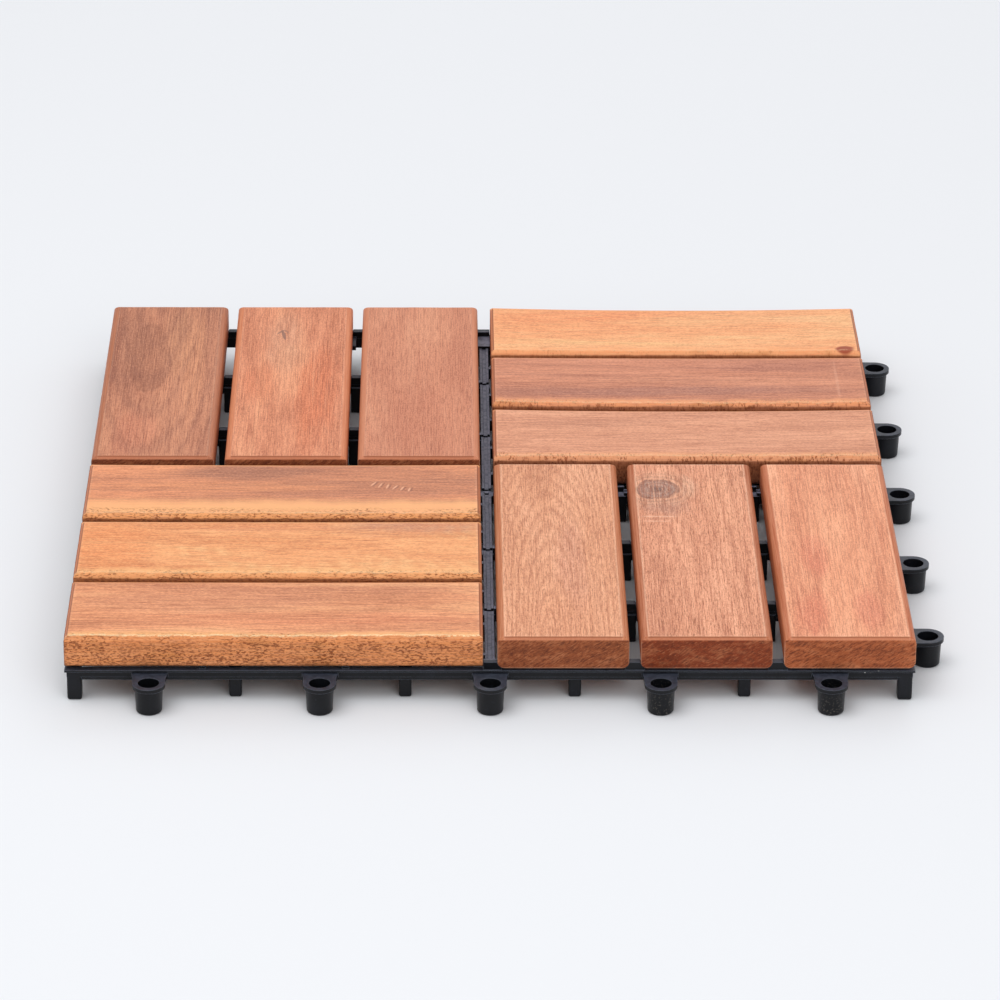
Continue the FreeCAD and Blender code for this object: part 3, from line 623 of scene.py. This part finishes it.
def blankSlat(size):
    # a planed board: long arrises rounded, ends cut across the top edge, faces cut into facets
    shape = bmesh.new()
    bmesh.ops.create_cube(shape, size=1.0)
    bmesh.ops.scale(shape, vec=(size["length"] * mm, size["width"] * mm, size["thick"] * mm),
                    verts=shape.verts)
    longEdges = [edge for edge in shape.edges if abs(edge.verts[0].co.x - edge.verts[1].co.x) > mm]
    bmesh.ops.bevel(shape, geom=longEdges, offset=size["arris"] * mm, segments=6, profile=0.5,
                    affect="EDGES", material=-1)
    for end in (-1, 1):
        corner = Vector((end * (size["length"] - size["chamfer"]) / 2, 0,
                         (size["thick"] - size["chamfer"]) / 2)) * mm
        cut = bmesh.ops.bisect_plane(shape, geom=shape.verts[:] + shape.edges[:] + shape.faces[:],
                                     dist=1e-7, plane_co=corner, plane_no=(end, 0, 1), clear_outer=True)
        rim = [piece for piece in cut["geom_cut"] if isinstance(piece, bmesh.types.BMEdge)]
        bmesh.ops.edgeloop_fill(shape, edges=rim)
    bmesh.ops.recalc_face_normals(shape, faces=shape.faces)
    endEdges = [edge for edge in shape.edges if len(edge.link_faces) == 2
                and edge.calc_face_angle() > math.radians(30)]
    bmesh.ops.bevel(shape, geom=endEdges, offset=size["softEdge"] * mm, segments=2, profile=0.5,
                    affect="EDGES", material=-1, clamp_overlap=True)
    for axis, reach in ((0, size["length"]), (1, size["width"] - 2 * size["arris"]),
                        (2, size["thick"] - 2 * size["arris"])):
        count = round(reach / size["facet"])
        normal = Vector((0, 0, 0))
        normal[axis] = 1
        for k in range(1, count):
            place = normal * (reach * (k / count - 0.5) * mm)
            bmesh.ops.bisect_plane(shape, geom=shape.verts[:] + shape.edges[:] + shape.faces[:],
                                   dist=1e-7, plane_co=place, plane_no=normal)
    mesh = bpy.data.meshes.new("blank")
    shape.to_mesh(mesh)
    shape.free()
    return mesh


wear = {
    "ripple": 0.09,        # mm, how deep the plane left its waves
    "chip": 0.45,          # mm, how deep the front arris is torn
    "dip": 0.15,           # mm, how far any slat's middle has sunk
}


def makeSlat(name, blank, look):
    shape = bmesh.new()
    shape.from_mesh(blank)
    shape.normal_update()
    offset = Vector((look["seed"] * 1.7, look["seed"] * 2.3, look["seed"] * 0.9))
    halfWidth = slatSize["width"] / 2 * mm
    halfLength = slatSize["length"] / 2 * mm
    backBow, frontBow = look.get("bow", (wear["dip"], wear["dip"]))
    moves = []
    for vertex in shape.verts:
        place = Vector((vertex.co.x * 30, vertex.co.y * 160, vertex.co.z * 160))
        wave = noise.noise(place + offset)              # between about -1 and 1
        depth = wear["ripple"] * (0.5 + 0.5 * wave)
        if "front" in look and vertex.co.z > 0 and vertex.co.y < -halfWidth + 3.2 * mm:
            tear = noise.noise(Vector((vertex.co.x * 260, vertex.co.y * 300, vertex.co.z * 300)) + offset)
            depth += wear["chip"] * max(0.0, tear)
        move = -vertex.normal * depth * mm
        share = 1 - (vertex.co.x / halfLength) ** 2
        toBack = (vertex.co.y / halfWidth + 1) / 2
        height = vertex.co.z / (slatSize["thick"] * mm) + 0.5
        move.z -= (backBow * toBack + frontBow * (1 - toBack)) * share * height * mm
        moves.append(move)
    for vertex, move in zip(shape.verts, moves):
        vertex.co += move
    turn = Matrix.Rotation(math.radians(90 if runsBack(name) else 0), 4, "Z")
    bmesh.ops.transform(shape, matrix=Matrix.Translation(middleOf(name)) @ turn, verts=shape.verts)
    mesh = bpy.data.meshes.new(name + "_board")
    shape.to_mesh(mesh)
    shape.free()
    slat = bpy.data.objects.new(name + "_board", mesh)
    bpy.context.collection.objects.link(slat)
    mesh.polygons.foreach_set("use_smooth", [True] * len(mesh.polygons))
    mesh.set_sharp_from_angle(angle=math.radians(28))
    mesh.materials.append(boardWood(name, look))
    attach(slat, body)
    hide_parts(name)
    return slat


blank = blankSlat(slatSize)
for slatName, slatLook in boards.items():
    board = makeSlat(slatName, blank, slatLook)
bpy.data.meshes.remove(blank)
print("stage: slats made,", len(boards))

gridPlastic = {
    "colour": paint(13, 14, 18),
    "worn": paint(27, 29, 36),
    # paler tone of faces turned up: partly dusted, partly painted light from above
    "dustAndTopLight": paint(62, 67, 80),
    # painted light on the middle cross, against the shade of its channel
    "crossLightTone": paint(142, 144, 164),
    # painted highlight on the plastic's edges
    "edge": paint(108, 114, 128),
    "speck": paint(112, 106, 98),
    "roughness": 0.30,
    "gloss": 0.24,
    "edgeHighlightRadius": 0.4,                              # mm
    # dirt splashed on two loops: place in mm, reach in mm, strength
    "splashes": [((120.0, -157.0, 0.0), 13.0, 0.6),
                 ((60.0, -157.0, 3.0), 11.0, 0.4)],
    # pale dots on the rim's front: place and size in mm
    "paleDots": [((137.0, -150.0, 12.4), 0.6),
               ((134.3, -150.0, 11.0), 0.35),
               ((132.2, -150.0, 11.3), 0.3)],
    "paleDotTone": paint(190, 190, 188),
}


def distanceTo(board, place):
    moved = board.node("ShaderNodeMapping", {"vector_type": "POINT"},
                       {"Vector": board, "Location": -Vector(place)})
    return moved.node("ShaderNodeVectorMath", {"operation": "LENGTH"}, {0: moved}, out=1)


def mouldedPlastic(look):
    material, surface, places = newMaterial("mouldedPlastic")
    board = places.node("ShaderNodeMapping", {"vector_type": "POINT"},
                        {"Vector": places, "Scale": (1 / mm, 1 / mm, 1 / mm)})
    cloud = board.noise((0.06, 0.06, 0.06), 4.0, 0.6)
    grit = board.noise((3.0, 3.0, 3.0), 2.0, 0.5)
    scuff = board.noise((0.5, 0.5, 0.9), 4.0, 0.7)
    facing = board.node("ShaderNodeNewGeometry", {}, {}, out=1).axis(2)
    upward = facing.between(0.55, 0.95)
    colour = board.colour(look["colour"]).towards(look["worn"], cloud.between(0.40, 0.70) * 0.6)
    # faces turned up are paler: partly dusted, partly painted light from above
    colour = colour.towards(look["dustAndTopLight"], upward * (0.55 + scuff.between(0.35, 0.65) * 0.45))
    colour = colour.towards(look["dustAndTopLight"], scuff.between(0.60, 0.72) * 0.25)
    # painted light: the upward faces of the middle cross between the quarters are the palest, lightened in
    # mottled patches against the shade of the channel
    fromCross = abs(board.axis(0)).least(abs(board.axis(1)))
    inside = abs(board.axis(0)).largest(abs(board.axis(1))).between(148.0, 146.0)
    crossLight = fromCross.between(3.2, 2.0) * inside * upward * (0.45 + scuff.between(0.30, 0.60) * 0.55)
    colour = colour.towards(look["crossLightTone"], crossLight)
    # painted highlight: edges where the surface turns within half a millimetre are lightened, in place of the
    # reflection of the bright surroundings
    soft = board.node("ShaderNodeBevel", {"samples": 4}, {"Radius": look["edgeHighlightRadius"] * mm})
    flat = board.node("ShaderNodeNewGeometry", {}, {}, out=3)
    agree = board.node("ShaderNodeVectorMath", {"operation": "DOT_PRODUCT"}, {0: soft, 1: flat}, out=1)
    colour = colour.towards(look["edge"], agree.between(0.985, 0.90) * (0.35 + scuff * 0.6))
    specks = board.noise((1.7, 1.7, 1.7), 1.0, 0.5).between(0.60, 0.70)
    for place, reach, strength in look["splashes"]:
        near = distanceTo(board, place).between(reach, reach / 3)
        colour = colour.towards(look["speck"], specks * near * strength)
    for place, size in look["paleDots"]:
        colour = colour.towards(look["paleDotTone"], distanceTo(board, place).between(size, size * 0.6))
    plug(surface, "Base Color", colour)
    plug(surface, "Roughness", look["roughness"] + cloud * 0.14 - 0.07 + scuff * 0.10 + upward * 0.10)
    plug(surface, "Specular IOR Level", look["gloss"])
    bump = board.node("ShaderNodeBump", {}, {"Height": grit * 0.6 + scuff * 0.4, "Distance": 0.00003,
                                             "Strength": 0.5, "Normal": soft})
    plug(surface, "Normal", bump)
    return material


def dress(name, material):
    node = frame["nodes"][name]
    for slotPlace in node.material_slots:
        slotPlace.material = material


dress("base_grid", mouldedPlastic(gridPlastic))

screwSteel = {"colour": paint(186, 184, 176), "roughness": 0.32}


def platedSteel(look):
    material, surface, places = newMaterial("platedSteel")
    board = places.node("ShaderNodeMapping", {"vector_type": "POINT"},
                        {"Vector": places, "Scale": (1 / mm, 1 / mm, 1 / mm)})
    cloud = board.noise((0.6, 0.6, 0.6), 3.0, 0.6)
    plug(surface, "Base Color", board.colour(look["colour"]).towards(paint(140, 132, 112), cloud))
    plug(surface, "Metallic", 1.0)
    plug(surface, "Roughness", look["roughness"] + cloud * 0.2)
    return material


dress("slat_screws", platedSteel(screwSteel))
print("stage: grid and screws dressed")
